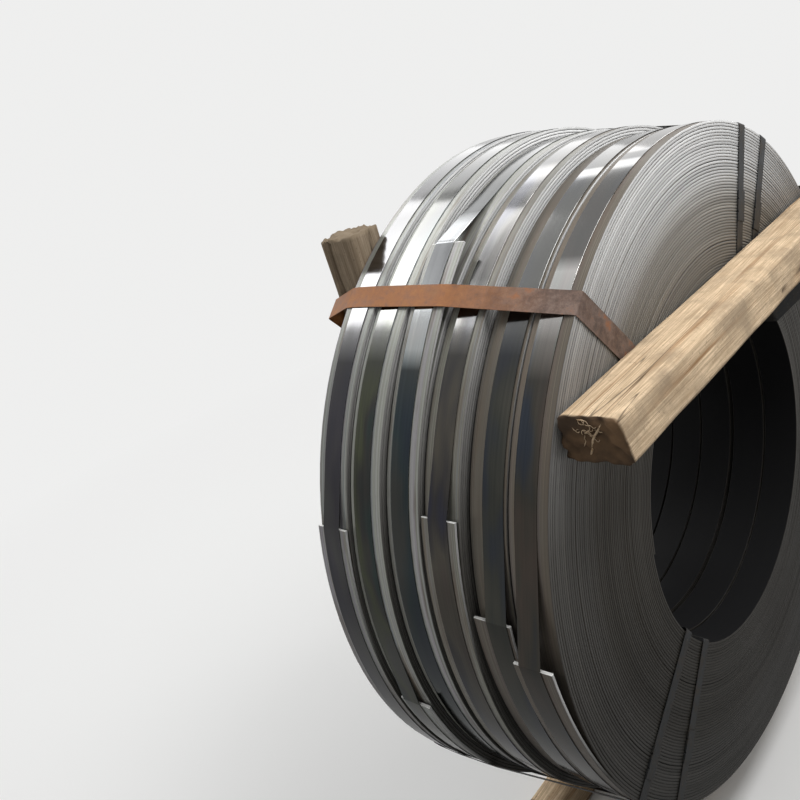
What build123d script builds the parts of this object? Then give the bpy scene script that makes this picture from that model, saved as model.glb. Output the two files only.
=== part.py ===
"""Strapped pack of six slit steel strip coils with its timbers and skids, in millimetres.

The origin is on the bore's axis at mid length. X runs along the axis, Z is up, and the front is -Y.
An angle round the axis is measured from the level front side upwards.
"""
import os
from dataclasses import dataclass
from math import acos, atan2, cos, degrees, hypot, radians, sin

from build123d import *

# Coils, from left to right
bore_radius = 254.0
strip_thickness = 4.0
strip_width = 52.0
turn_counts = (65, 64, 61, 60, 57, 57)
coil_gaps = (2.0, 2.5, 2.5, 5.0, 1.5)
loose_turns = (17, 44)
loose_turn_gap = 1.2
loose_turn_depth = 1.5

# Sprung outer ends of the strips
tip_angles = (17.5, -11.7, 59.7, 21.1, 7.8, 3.6)
sprung_spans = (28.0, 30.0, 30.0, 26.0, 30.0, 32.0)
tip_standoffs = (2.0, 2.5, 14.0, 4.0, 8.0, 18.5)
wrap_gap = 0.5

# Straps, seals and seats
seat_gap = 0.3
strap_thickness = 0.9
coil_strap_width = 29.0
coil_strap_shifts = (0.0, -5.0, -4.0, 0.0, 7.0, -3.0)
coil_seal_angle = 152.0
seal_thickness = 1.2
seal_length = 42.0
seal_clearance = 0.15
notch_size = 2.6
notch_spacing = 18.0

# Bundle straps through the bore
rusty_strap_width = 30.0
dark_strap_width = 19.0
rusty_strap_angle = 51.0
upper_strap_angles = (112.5, 122.0)
lower_strap_angles = (-33.0, -47.0)
rear_strap_angle = 146.0
upper_seal_rises = (112.0, 108.0)
lower_seal_rises = (176.0, 144.0)
rear_seal_rise = 76.0

# Timbers
corner_timber_depth = 62.0
corner_timber_width = 62.0
corner_timber_front = -292.0
corner_timber_top = 470.0
corner_timber_length = 180.0
spacer_width = 82.0
spacer_height = 54.0
spacer_top = 284.0
spacer_front = -391.0
spacer_length = 790.0
skid_width = 60.0
skid_height = 60.0
skid_length = 620.0
skid_insets = (54.0, 110.5)
timber_bevel = 3.0

coil_count = len(turn_counts)
half_turn = 180.0
full_turn = 360.0
pack_length = coil_count * strip_width + sum(coil_gaps)
right_end = pack_length / 2
outer_radii = [bore_radius + strip_thickness * turns for turns in turn_counts]
largest_radius = max(outer_radii)
strap_rise = seat_gap + strap_thickness


def coil_left(index):
    """X of a coil's left face."""
    return -pack_length / 2 + index * strip_width + sum(coil_gaps[:index])


def polar(radius, angle):
    """Point at a radius and an angle in a section plane."""
    return Vector(radius * cos(radians(angle)), radius * sin(radians(angle)))


def section_plane(x):
    """Plane across the axis, seen with the front to its right and its normal towards -X."""
    return Plane(origin=(x, 0, 0), x_dir=(0, -1, 0), z_dir=(-1, 0, 0))


@dataclass
class LastTurn:
    """Sizes of a coil's last turn, which grows by half a thickness and then springs off."""

    first_radius: float
    last_radius: float
    centre: Vector
    root_angle: float
    bend_radius: float
    sprung_arc: float


def last_turn(index):
    """Works out a coil's last turn from its turns, its tip and the tip's standoff."""
    tip = tip_angles[index]
    span = sprung_spans[index]
    first_radius = outer_radii[index] - strip_thickness
    last_radius = first_radius + strip_thickness / 2
    arc_length = last_radius * radians(span)
    bend_radius = 1 / (1 / last_radius - 2 * tip_standoffs[index] / arc_length**2)
    centre = polar(strip_thickness / 2, tip)
    sprung_arc = degrees(arc_length / bend_radius)
    return LastTurn(first_radius, last_radius, centre, tip - span, bend_radius, sprung_arc)


def strip_outline(index):
    """Outline of a coil's wound strip with the sprung end of its last turn."""
    turn = last_turn(index)
    tip = tip_angles[index]
    span = sprung_spans[index]
    with BuildSketch() as outline:
        with BuildLine():
            over = CenterArc((0, 0), turn.first_radius, tip, half_turn)
            under = CenterArc(turn.centre, turn.last_radius, tip + half_turn, half_turn - span)
            sprung = JernArc(under @ 1, under % 1, turn.bend_radius, turn.sprung_arc)
            bend_centre = (under @ 1) - polar(turn.bend_radius, turn.root_angle)
            inside = CenterArc(bend_centre, turn.bend_radius - strip_thickness,
                               turn.root_angle + turn.sprung_arc, -turn.sprung_arc)
            bed = CenterArc(turn.centre, turn.last_radius - strip_thickness - wrap_gap, turn.root_angle, span)
            Line(sprung @ 1, inside @ 0)
            Line(inside @ 1, bed @ 0)
            Line(bed @ 1, over @ 0)
        make_face()
    return outline.sketch


def coil_hull(index):
    """Outline that a strap pulled tight round a coil follows, straight from the tip to the coil above."""
    turn = last_turn(index)
    tip = tip_angles[index]
    with BuildSketch() as hull:
        with BuildLine():
            under = CenterArc(turn.centre, turn.last_radius, tip + half_turn, half_turn - sprung_spans[index])
            sprung = JernArc(under @ 1, under % 1, turn.bend_radius, turn.sprung_arc)
            corner = sprung @ 1
            landing = degrees(atan2(corner.Y, corner.X) + acos(turn.first_radius / corner.length))
            over = CenterArc((0, 0), turn.first_radius, landing, tip + half_turn - landing)
            Line(corner, over @ 0)
        make_face()
    return hull.sketch


def band(hull, inner, outer):
    """Ring between two offsets of a hull."""
    with BuildSketch() as ring:
        offset(hull, amount=outer, kind=Kind.INTERSECTION)
        if inner:
            offset(hull, amount=inner, kind=Kind.INTERSECTION, mode=Mode.SUBTRACT)
        else:
            add(hull, mode=Mode.SUBTRACT)
    return ring.sketch


def slab_at(angle, thickness):
    """Slab along the axis at an angle, from the axis outwards."""
    reach_out = largest_radius * 2
    slab = Pos(0, 0, reach_out / 2) * Box(pack_length * 4, thickness, reach_out)
    return Rot(X=90 - angle) * slab


def radii_in_slab(piece, angle, thickness):
    """Least and greatest distance from the axis of what a piece has in a slab, or None."""
    cut = piece & slab_at(angle, thickness)
    corners = [hypot(vertex.Y, vertex.Z) for vertex in cut.vertices()] if cut else []
    return (min(corners), max(corners)) if corners else None


def make_coil(index):
    """One slit coil with its bore, and on an outer end of the pack the gaps beside its looser turns."""
    left = coil_left(index)
    outer_ends = [left + loose_turn_depth] * (index == 0) + [left + strip_width] * (index == coil_count - 1)
    with BuildPart() as coil:
        with BuildSketch(section_plane(left + strip_width)):
            add(strip_outline(index))
            Circle(bore_radius, mode=Mode.SUBTRACT)
        extrude(amount=strip_width)
        for end in outer_ends:
            for turns in loose_turns:
                turn_radius = bore_radius + turns * strip_thickness
                with BuildSketch(section_plane(end)):
                    Circle(turn_radius)
                    Circle(turn_radius - loose_turn_gap, mode=Mode.SUBTRACT)
                extrude(amount=loose_turn_depth, mode=Mode.SUBTRACT)
    return coil.part


def coil_strap_right(index):
    """X of the right edge of a coil's own strap."""
    return coil_left(index) + (strip_width + coil_strap_width) / 2 + coil_strap_shifts[index]


def make_coil_strap(index, hull):
    """Narrow strap round a coil, straight from the sprung tip to the coil above."""
    with BuildPart() as strap:
        with BuildSketch(section_plane(coil_strap_right(index))):
            add(band(hull, seat_gap, strap_rise))
        extrude(amount=coil_strap_width)
    return strap.part


def notch_pairs(width):
    """Places of the crimp notches of a seal lying in the XY plane, along X."""
    return [(x, y) for x in (-notch_spacing / 2, notch_spacing / 2) for y in (-width / 2, width / 2)]


def make_coil_seal(index, hull):
    """Crimped seal that straddles a coil's own strap on the rear side."""
    width = coil_strap_width + 2 * seal_thickness
    with BuildPart() as seal:
        with BuildSketch(section_plane(coil_strap_right(index) + seal_thickness)):
            add(band(hull, seat_gap, strap_rise + seal_thickness))
            with Locations(polar(outer_radii[index], coil_seal_angle)):
                Rectangle(strip_width * 2, seal_length, rotation=coil_seal_angle, mode=Mode.INTERSECT)
        extrude(amount=width)
        with BuildSketch(section_plane(coil_strap_right(index) + seal_clearance)):
            add(band(hull, 0, strap_rise + seal_clearance))
        extrude(amount=coil_strap_width + 2 * seal_clearance, mode=Mode.SUBTRACT)
        seal_plane = Plane(
            origin=(coil_strap_right(index) - coil_strap_width / 2, 0, 0),
            x_dir=(0, sin(radians(coil_seal_angle)), cos(radians(coil_seal_angle))),
            z_dir=(0, -cos(radians(coil_seal_angle)), sin(radians(coil_seal_angle))),
        )
        with BuildSketch(seal_plane):
            with Locations(*notch_pairs(width)):
                Rectangle(notch_size, notch_size, rotation=45)
        extrude(amount=largest_radius * 2, mode=Mode.SUBTRACT)
    return seal.part


def bundle_hull(angle, width, pieces):
    """Hull in the plane through the axis of all that a bundle strap at an angle goes round."""
    found = [(piece.bounding_box(), radii_in_slab(piece, angle, width)) for piece in pieces]
    with BuildSketch() as sections:
        for box, radii in found:
            if radii:
                low, high = radii
                with Locations(((box.min.X + box.max.X) / 2, (low + high) / 2)):
                    Rectangle(box.size.X, high - low)
    with BuildSketch() as hull:
        make_hull(sections.sketch.edges())
    return hull.sketch


def swept_band(profile, angle, width):
    """A profile in the plane through the axis, curved round the axis over a strap's width."""
    wedge = 2 * degrees(width / bore_radius)
    with BuildPart() as swept:
        with BuildSketch(Plane.XZ):
            add(profile)
        revolve(axis=Axis.X, revolution_arc=wedge)
    turned = Rot(X=90 - angle - wedge / 2) * swept.part
    return turned & slab_at(angle, width)


def make_bundle_strap(hull, angle, width):
    """Strap through the bore and over the coils, in a plane through the axis."""
    return swept_band(band(hull, seat_gap, strap_rise), angle, width)


def make_bundle_seal(hull, angle, width, radius, side):
    """Crimped seal that straddles a bundle strap on an end face, side 1 being the right one."""
    with BuildSketch() as shell:
        add(band(hull, seat_gap, strap_rise + seal_thickness))
        with Locations((side * pack_length, radius)):
            Rectangle(pack_length * 2, seal_length, mode=Mode.INTERSECT)
    body = swept_band(shell.sketch, angle, width + 2 * seal_thickness)
    slot = swept_band(band(hull, 0, strap_rise + seal_clearance), angle, width + 2 * seal_clearance)
    seal = body - slot
    a = radians(angle)
    notch_plane = Plane(
        origin=(0, -radius * cos(a), radius * sin(a)), x_dir=(0, -cos(a), sin(a)), z_dir=(side, 0, 0)
    )
    with BuildPart() as notched:
        add(seal)
        with BuildSketch(notch_plane):
            with Locations(*notch_pairs(width + 2 * seal_thickness)):
                Rectangle(notch_size, notch_size, rotation=45)
        extrude(amount=pack_length * 2, mode=Mode.SUBTRACT)
    return notched.part


def make_timber(low, high):
    """Sawn timber between two corners, with eased edges."""
    size = Vector(*high) - Vector(*low)
    with BuildPart() as timber:
        with Locations((Vector(*low) + Vector(*high)) / 2):
            Box(size.X, size.Y, size.Z)
        chamfer(timber.edges().sort_by(SortBy.LENGTH)[-4:], timber_bevel)
    return timber.part


def make_corner_timber():
    """Upright timber against the left end, which the rusty strap pulls tight."""
    back = -right_end - seat_gap
    low = (back - corner_timber_depth, corner_timber_front, corner_timber_top - corner_timber_length)
    high = (back, corner_timber_front + corner_timber_width, corner_timber_top)
    return make_timber(low, high)


def make_spacer_timber():
    """Level timber against the right end, outside the straps that run down it."""
    face = right_end + strap_rise + seat_gap
    low = (face, spacer_front, spacer_top - spacer_height)
    high = (face + spacer_width, spacer_front + spacer_length, spacer_top)
    return make_timber(low, high)


def skid_top(x):
    """Height of a skid's top, just under the lowest strap over it."""
    boxes = [strap.bounding_box() for strap in coil_straps]
    reach = (skid_width + coil_strap_width) / 2
    return min(box.min.Z for box in boxes if abs(box.center().X - x) < reach) - seat_gap


def make_skid(x, top, floor):
    """Cross timber under the pack, between the floor and the strap that bears on it."""
    low = (x - skid_width / 2, -skid_length / 2, floor)
    high = (x + skid_width / 2, skid_length / 2, top)
    return make_timber(low, high)


def save(piece, name):
    """Labels a piece and writes its file."""
    piece.label = name
    export_step(piece, f"parts/{name}.step")


os.makedirs("parts", exist_ok=True)

# Coils with their own straps and seals
coils = []
coil_straps = []
for index in range(coil_count):
    hull = coil_hull(index)
    coils.append(make_coil(index))
    coil_straps.append(make_coil_strap(index, hull))
    save(coils[index], f"coil_{index + 1}")
    save(coil_straps[index], f"coil_strap_{index + 1}")
    save(make_coil_seal(index, hull), f"coil_strap_seal_{index + 1}")

# Timbers on the ends
corner_timber = make_corner_timber()
spacer_timber = make_spacer_timber()
save(corner_timber, "corner_timber")
save(spacer_timber, "spacer_timber")

# Bundle straps, each with the pieces that it goes round, and the rusty one's seal on the corner timber's face
wrapped = coils + coil_straps
corner_timber_middle = -corner_timber_front - corner_timber_width / 2
rusty_seal_radius = corner_timber_middle / cos(radians(rusty_strap_angle))
upper_seal_radii = [bore_radius + rise for rise in upper_seal_rises]
lower_seal_radii = [bore_radius + rise for rise in lower_seal_rises]
rear_seal_radius = bore_radius + rear_seal_rise
straps = {
    "rusty_strap": (rusty_strap_angle, rusty_strap_width, rusty_seal_radius, -1, [corner_timber]),
    "upper_strap_1": (upper_strap_angles[0], dark_strap_width, upper_seal_radii[0], 1, []),
    "upper_strap_2": (upper_strap_angles[1], dark_strap_width, upper_seal_radii[1], 1, []),
    "lower_strap_1": (lower_strap_angles[0], dark_strap_width, lower_seal_radii[0], 1, []),
    "lower_strap_2": (lower_strap_angles[1], dark_strap_width, lower_seal_radii[1], 1, []),
    "rear_strap": (rear_strap_angle, rusty_strap_width, rear_seal_radius, -1, [spacer_timber]),
}
for name, (angle, width, seal_radius, side, held) in straps.items():
    hull = bundle_hull(angle, width, wrapped + held)
    save(make_bundle_strap(hull, angle, width), name)
    save(make_bundle_seal(hull, angle, width, seal_radius, side), f"{name}_seal")

# Skids on one floor, set in from the ends of the pack
skid_middles = {"skid_left": skid_insets[0] - right_end, "skid_right": right_end - skid_insets[1]}
skid_tops = {name: skid_top(x) for name, x in skid_middles.items()}
floor = min(skid_tops.values()) - skid_height
for name, x in skid_middles.items():
    save(make_skid(x, skid_tops[name], floor), name)
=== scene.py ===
"""Looks of the strapped pack of slit steel strip coils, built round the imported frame.

Metres, in the frame's own axes: X runs along the bore, Z is up and the front is -Y. An angle round the
axis is measured from the level front side upwards, as in the part's source.
"""
import logging
import math
from dataclasses import dataclass, field
from enum import Enum

import bpy
import numpy as np
from mathutils import Matrix, Vector


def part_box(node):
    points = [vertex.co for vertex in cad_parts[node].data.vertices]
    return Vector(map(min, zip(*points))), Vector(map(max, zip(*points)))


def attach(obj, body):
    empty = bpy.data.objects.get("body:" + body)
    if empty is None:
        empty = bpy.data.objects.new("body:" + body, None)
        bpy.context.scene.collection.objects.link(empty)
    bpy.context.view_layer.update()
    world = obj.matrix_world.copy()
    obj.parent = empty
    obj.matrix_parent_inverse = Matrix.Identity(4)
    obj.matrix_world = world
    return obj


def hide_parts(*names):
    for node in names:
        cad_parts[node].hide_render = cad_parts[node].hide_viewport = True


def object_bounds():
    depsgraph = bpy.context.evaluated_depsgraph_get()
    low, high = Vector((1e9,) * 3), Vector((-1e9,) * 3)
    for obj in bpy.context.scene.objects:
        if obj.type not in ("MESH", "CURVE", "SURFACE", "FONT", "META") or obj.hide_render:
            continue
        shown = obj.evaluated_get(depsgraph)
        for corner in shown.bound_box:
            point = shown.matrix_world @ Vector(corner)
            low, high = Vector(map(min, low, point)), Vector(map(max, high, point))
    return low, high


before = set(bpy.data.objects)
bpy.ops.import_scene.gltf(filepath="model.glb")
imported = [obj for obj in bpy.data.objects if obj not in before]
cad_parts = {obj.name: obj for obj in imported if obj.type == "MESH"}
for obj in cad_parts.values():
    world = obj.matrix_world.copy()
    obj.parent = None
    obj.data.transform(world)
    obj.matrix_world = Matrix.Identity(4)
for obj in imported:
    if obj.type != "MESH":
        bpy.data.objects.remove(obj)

Colour = tuple[float, float, float]
Point = tuple[float, float, float]
Stops = tuple[tuple[float, Colour], ...]
Socket = bpy.types.NodeSocket

log = logging.getLogger("coil_pack")
CAD_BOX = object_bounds()
BODY = "root"
MM = 0.001


# Node trees

class Graph:
    """Adds nodes to a shader or geometry tree, with plain values or sockets as their inputs."""

    def __init__(self, tree: bpy.types.NodeTree) -> None:
        """Keeps the tree to add to."""
        self.tree = tree

    def node(self, kind: str, inputs: dict | None = None, **settings: object) -> bpy.types.Node:
        """Adds a node.

        Args:
            kind: Type of the node.
            inputs: Value or socket for each input, by name or place.
            settings: Properties of the node.

        Returns:
            The new node.
        """
        made = self.tree.nodes.new(kind)
        for name, value in settings.items():
            setattr(made, name, value)
        for key, value in (inputs or {}).items():
            if isinstance(value, Socket):
                self.tree.links.new(value, made.inputs[key])
            else:
                made.inputs[key].default_value = value
        return made

    def math(self, operation: str, *values: object) -> Socket:
        """Result of a Math node on up to three values."""
        return self.node("ShaderNodeMath", dict(enumerate(values)), operation=operation).outputs[0]

    def times(self, first: object, second: object) -> Socket:
        """Product of two values."""
        return self.math("MULTIPLY", first, second)

    def plus(self, first: object, second: object) -> Socket:
        """Sum of two values."""
        return self.math("ADD", first, second)

    def point(self, x: object = 0.0, y: object = 0.0, z: object = 0.0) -> Socket:
        """Vector of three values."""
        return self.node("ShaderNodeCombineXYZ", {0: x, 1: y, 2: z}).outputs[0]

    def parts(self, vector: Socket) -> list[Socket]:
        """The three values of a vector."""
        return list(self.node("ShaderNodeSeparateXYZ", {0: vector}).outputs)

    def moved(self, vector: Socket, offset: object) -> Socket:
        """A vector with another one added."""
        return self.node("ShaderNodeVectorMath", {0: vector, 1: offset}, operation="ADD").outputs[0]

    def length(self, vector: Socket) -> Socket:
        """Length of a vector."""
        return self.node("ShaderNodeVectorMath", {0: vector}, operation="LENGTH").outputs["Value"]

    def scaled(self, vector: Socket, factors: Point) -> Socket:
        """A vector with each axis multiplied by its own factor."""
        return self.node("ShaderNodeVectorMath", {0: vector, 1: factors}, operation="MULTIPLY").outputs[0]

    def place(self) -> Socket:
        """Place in the frame's own axes, as every piece stands at the origin."""
        return self.node("ShaderNodeTexCoord").outputs["Object"]

    def height(self) -> Socket:
        """Height above the bore's axis."""
        return self.parts(self.place())[2]

    def noise(self, vector: Socket, scale: float, detail: float = 2.0, roughness: float = 0.5) -> Socket:
        """Value of a noise pattern, from about 0.2 to 0.8."""
        inputs = {"Vector": vector, "Scale": scale, "Detail": detail, "Roughness": roughness}
        return self.node("ShaderNodeTexNoise", inputs).outputs[0]

    def line_noise(self, place: Socket, detail: float, roughness: float = 0.5) -> Socket:
        """Value of a noise pattern along a line."""
        inputs = {"W": place, "Scale": 1.0, "Detail": detail, "Roughness": roughness}
        return self.node("ShaderNodeTexNoise", inputs, noise_dimensions="1D").outputs[0]

    def remap(self, value: object, low: float, high: float, to_low: float = 0.0,
              to_high: float = 1.0) -> Socket:
        """A value taken from one range to another and held there."""
        inputs = {"Value": value, "From Min": low, "From Max": high, "To Min": to_low, "To Max": to_high}
        return self.node("ShaderNodeMapRange", inputs).outputs[0]

    def faded(self, value: Socket, spot: Socket, share: float) -> Socket:
        """A value that falls to a share of itself where a spot is 1."""
        return self.times(value, self.remap(spot, 0.0, 1.0, 1.0, share))

    def mix(self, factor: object, first: object, second: object, blend: str = "MIX") -> Socket:
        """Blend of two colours."""
        made = self.node("ShaderNodeMix", data_type="RGBA", blend_type=blend)
        for place, value in ((0, factor), (6, first), (7, second)):
            if isinstance(value, Socket):
                self.tree.links.new(value, made.inputs[place])
            else:
                made.inputs[place].default_value = value if place == 0 else (*value, 1.0)
        return made.outputs[2]

    def toned(self, factor: object, colour: object, tone: object) -> Socket:
        """A colour multiplied by another."""
        return self.mix(factor, colour, tone, "MULTIPLY")

    def ramp(self, value: object, stops: Stops) -> Socket:
        """Colour from a ramp of places and colours."""
        made = self.node("ShaderNodeValToRGB", {0: value})
        elements = made.color_ramp.elements
        while len(elements) < len(stops):
            elements.new(0.5)
        for element, (place, colour) in zip(elements, stops):
            element.position = place
            element.color = (*colour, 1.0)
        return made.outputs[0]

    def bump(self, height: object, strength: float, distance: float, normal: Socket | None = None) -> Socket:
        """Normal of a height pattern."""
        inputs = {"Height": height, "Strength": strength, "Distance": distance}
        if normal is not None:
            inputs["Normal"] = normal
        return self.node("ShaderNodeBump", inputs).outputs[0]

    def attribute(self, name: str, output: str = "Fac") -> Socket:
        """Value or vector of an attribute of the mesh."""
        return self.node("ShaderNodeAttribute", attribute_name=name).outputs[output]

    def surface(self, colour: Socket, metallic: object, roughness: object, normal: Socket,
                specular: object = 0.5) -> bpy.types.Node:
        """Principled shader of a surface."""
        return self.node("ShaderNodeBsdfPrincipled", {
            "Base Color": colour, "Metallic": metallic, "Roughness": roughness, "Normal": normal,
            "Specular IOR Level": specular})


@dataclass(frozen=True)
class Finish:
    """A procedural finish."""

    name: str

    def material(self) -> bpy.types.Material:
        """Material of the finish with its node tree, made once."""
        found = bpy.data.materials.get(self.name)
        if found:
            return found
        made = bpy.data.materials.new(self.name)
        made.use_nodes = True
        made.node_tree.nodes.clear()
        graph = Graph(made.node_tree)
        graph.node("ShaderNodeOutputMaterial", {"Surface": self.shader(graph).outputs[0]})
        return made

    def shader(self, graph: Graph) -> bpy.types.Node:
        """Builds the shader, which each finish gives for itself.

        Args:
            graph: Tree to add to.

        Returns:
            The shader node.
        """
        raise NotImplementedError


@dataclass(frozen=True)
class StripSteel(Finish):
    """Satin slit strip, with streaks along it, bright slit edges and stains that differ from coil to coil,
    and painted
    light and shade: edges lighter high up and darker low down, faces darker low down, a near black inner face
    in the bore and dark gaps between turns.
    """

    face: Colour
    stain_share: float
    seed: float
    tints: Stops = (
        (0.3, (0.94, 0.87, 0.99)), (0.42, (1.0, 1.0, 1.0)), (0.55, (1.0, 1.03, 0.89)),
        (0.68, (0.87, 0.95, 1.01)), (0.8, (1.1, 0.95, 0.82)))
    stain: Colour = (0.13, 0.105, 0.082)
    streak_shade: Colour = (0.72, 0.71, 0.7)
    streak_light: Colour = (1.4, 1.4, 1.41)
    smudge: Colour = (0.09, 0.085, 0.078)
    # Painted shade: colour that the strip's faces turn to low down.
    painted_low_shade: Colour = (0.045, 0.043, 0.04)
    # Painted shade: near black for the strip's inner face, seen in the bore.
    inside: Colour = (0.011, 0.011, 0.0115)
    # Painted light and shade: the slit edges run from dark low down to near white high up.
    painted_edge_light_span: tuple[float, float] = (-0.5, 0.5)
    painted_edge_light_and_shade: Stops = (
        (0.0, (0.036, 0.034, 0.031)), (0.4, (0.055, 0.052, 0.047)), (0.64, (0.125, 0.119, 0.11)),
        (0.8, (0.285, 0.28, 0.27)), (0.9, (0.52, 0.52, 0.515)), (1.0, (0.66, 0.66, 0.655)))
    inner_turns: Colour = (0.62, 0.59, 0.54)
    fresh_edge: Colour = (0.6, 0.6, 0.59)
    # Painted shade: dark corners on each slit edge, as in the gaps between turns.
    painted_gap_shade: Colour = (0.02, 0.02, 0.021)
    cut: Colour = (0.85, 0.85, 0.83)

    def shader(self, graph: Graph) -> bpy.types.Node:
        """Builds the strip's shader from its faces, its slit edges and its cut tip."""
        travel = graph.attribute("travel")
        through, across, _ = graph.parts(graph.attribute("profile", "Vector"))
        run, height = graph.plus(travel, self.seed), graph.height()
        is_edge = graph.remap(graph.math("ABSOLUTE", across), 0.488, 0.494)
        is_face = graph.math("SUBTRACT", 1.0, is_edge)
        is_inside = graph.times(graph.remap(through, -0.45, -0.49), is_face)
        is_cut = graph.remap(travel, 0.7 * MM, 0.4 * MM)
        streak_place = graph.point(graph.times(run, 1.3), graph.times(across, 40.0), self.seed)
        streaks = graph.noise(streak_place, 1.0, 4.0, 0.65)
        # Painted shade: the inner face, seen in the bore, is near black, with no metallic sheen and little
        # specular.
        faces = graph.mix(is_inside, self.face_colour(graph, run, across, streaks, height), self.inside)
        edges = self.edge_colour(graph, run, travel, through, height)
        colour = graph.mix(is_cut, graph.mix(is_edge, faces, edges), self.cut)
        roughness = graph.plus(graph.remap(streaks, 0.3, 0.7, 0.27, 0.4), graph.times(is_edge, 0.08))
        crown = graph.times(graph.math("POWER", graph.math("ABSOLUTE", through), 2.5), -8.0)
        scratches = graph.bump(graph.times(streaks, is_face), 0.12, 0.6 * MM)
        normal = graph.bump(graph.times(crown, is_edge), 0.5, 0.8 * MM, scratches)
        bare = graph.faded(graph.remap(is_inside, 0.0, 1.0, 0.3, 0.0), is_edge, 0.35)
        metallic = graph.faded(bare, graph.remap(height, -0.04, -0.3), 0.3)
        return graph.surface(colour, metallic, roughness, normal, graph.remap(is_inside, 0.0, 1.0, 0.1, 0.04))

    def face_colour(self, graph: Graph, run: Socket, across: Socket, streaks: Socket,
                    height: Socket) -> Socket:
        """Colour of the strip's outer face.

        Args:
            graph: Tree to add to.
            run: Distance along the strip, shifted by the seed.
            across: Share of the width, from the middle.
            streaks: Pattern of streaks along the strip.
            height: Height above the axis, as the faces are painted darker low down: painted shade.

        Returns:
            The colour.
        """
        cloud_place = graph.point(graph.times(run, 5.0), graph.times(across, 3.0), self.seed)
        clouds = graph.noise(cloud_place, 1.0, 3.0, 0.6)
        smudges = graph.noise(cloud_place, 5.0, 4.0, 0.7)
        tint_place = graph.point(graph.times(run, 0.7), graph.times(across, 6.0), self.seed + 3.0)
        tinted = graph.toned(0.8, self.face, graph.ramp(graph.noise(tint_place, 1.0), self.tints))
        stained = graph.mix(graph.remap(clouds, 0.62 - self.stain_share * 0.5, 0.72), tinted, self.stain)
        shaded = graph.toned(graph.remap(streaks, 0.58, 0.36), stained, self.streak_shade)
        lit = graph.toned(graph.remap(streaks, 0.5, 0.7), shaded, self.streak_light)
        smudged = graph.mix(graph.remap(smudges, 0.56, 0.78, 0.0, 0.45), lit, self.smudge)
        # Painted shade: the faces darken towards the bottom.
        return graph.mix(graph.remap(height, -0.04, -0.38, 0.0, 0.82), smudged, self.painted_low_shade)

    def edge_colour(self, graph: Graph, run: Socket, travel: Socket, through: Socket,
                    height: Socket) -> Socket:
        """Colour of the slit edges, which show as the turns of a coil's end.

        Args:
            graph: Tree to add to.
            run: Distance along the strip, shifted by the seed.
            travel: Distance from the strip's tip, near which the edges are fresh.
            through: Share of the thickness, from the middle.
            height: Height above the axis, as the turns are painted lighter high up and darker low down:
                painted light and shade.

        Returns:
            The colour.
        """
        tone = graph.remap(graph.line_noise(graph.times(run, 0.9), 3.0, 0.7), 0.3, 0.7, 0.72, 1.15)
        # Painted light and shade: the edges are lighter high up and darker low down.
        painted_lit_edges = graph.ramp(graph.remap(height, *self.painted_edge_light_span), self.painted_edge_light_and_shade)
        radius = graph.length(graph.scaled(graph.place(), (0.0, 1.0, 1.0)))
        inner = graph.toned(graph.remap(radius, 0.412, 0.372), painted_lit_edges, self.inner_turns)
        varied = graph.toned(1.0, inner, graph.point(tone, tone, tone))
        fresh = graph.mix(graph.remap(travel, 0.2, 0.03, 0.0, 0.85), varied, self.fresh_edge)
        # Painted shade: each edge darkens at its corners, as in the gaps between turns.
        corner = graph.remap(graph.math("ABSOLUTE", through), 0.36, 0.5)
        return graph.mix(graph.times(corner, 0.75), fresh, self.painted_gap_shade)


@dataclass(frozen=True)
class StrapSteel(Finish):
    """Dark blued strapping, with sharp reflections, tints along it and painted highlights: bands of brighter
    colour set by height.
    """

    tints: tuple[Colour, ...]
    # Painted highlights: height and brightening factor of each band.
    painted_highlights: tuple[tuple[float, float], ...]
    seed: float
    painted_highlight_span: tuple[float, float] = (0.2, 0.5)
    brightest_painted_highlight: float = 9.0
    streak_light: Colour = (1.5, 1.48, 1.45)
    scuff: Colour = (0.1, 0.1, 0.097)
    # Painted highlight: neutral grey that the strap's colour turns to high up, so that the painted highlights
    # read white.
    bare: Colour = (0.062, 0.062, 0.062)

    def shader(self, graph: Graph) -> bpy.types.Node:
        """Builds the strap's shader from its tints, scuffs and painted highlights."""
        travel = graph.plus(graph.attribute("travel"), self.seed)
        across, height = graph.parts(graph.attribute("profile", "Vector"))[1], graph.height()
        tone = graph.noise(graph.point(graph.times(travel, 5.5), graph.times(across, 0.6), self.seed), 1.0)
        streak_place = graph.point(graph.times(travel, 2.0), graph.times(across, 26.0), self.seed)
        streaks = graph.noise(streak_place, 1.0, 3.0, 0.6)
        scuffs = graph.noise(streak_place, 6.0, 4.0, 0.7)
        places = np.linspace(0.36, 0.64, len(self.tints)).tolist()
        tinted = graph.ramp(tone, tuple(zip(places, self.tints)))
        streaked = graph.toned(graph.remap(streaks, 0.35, 0.75), tinted, self.streak_light)
        scuffed = graph.mix(graph.remap(scuffs, 0.62, 0.8, 0.0, 0.25), streaked, self.scuff)
        # Painted highlight: the colour turns to neutral grey high up.
        highlight_greyed = graph.mix(graph.remap(height, 0.28, 0.36, 0.0, 0.85), scuffed, self.bare)
        # Painted highlights: bands by height where the colour is brightened, as if lamps reflected there.
        low, high = self.painted_highlight_span
        stops = tuple(((place - low) / (high - low), (factor / self.brightest_painted_highlight,) * 3)
                      for place, factor in self.painted_highlights)
        shares = graph.ramp(graph.remap(height, low, high), stops)
        colour = graph.toned(1.0, highlight_greyed, graph.scaled(shares, (self.brightest_painted_highlight,) * 3))
        roughness = graph.remap(streaks, 0.3, 0.7, 0.1, 0.17)
        return graph.surface(colour, 1.0, roughness, graph.bump(tone, 0.1, 4 * MM))


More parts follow.
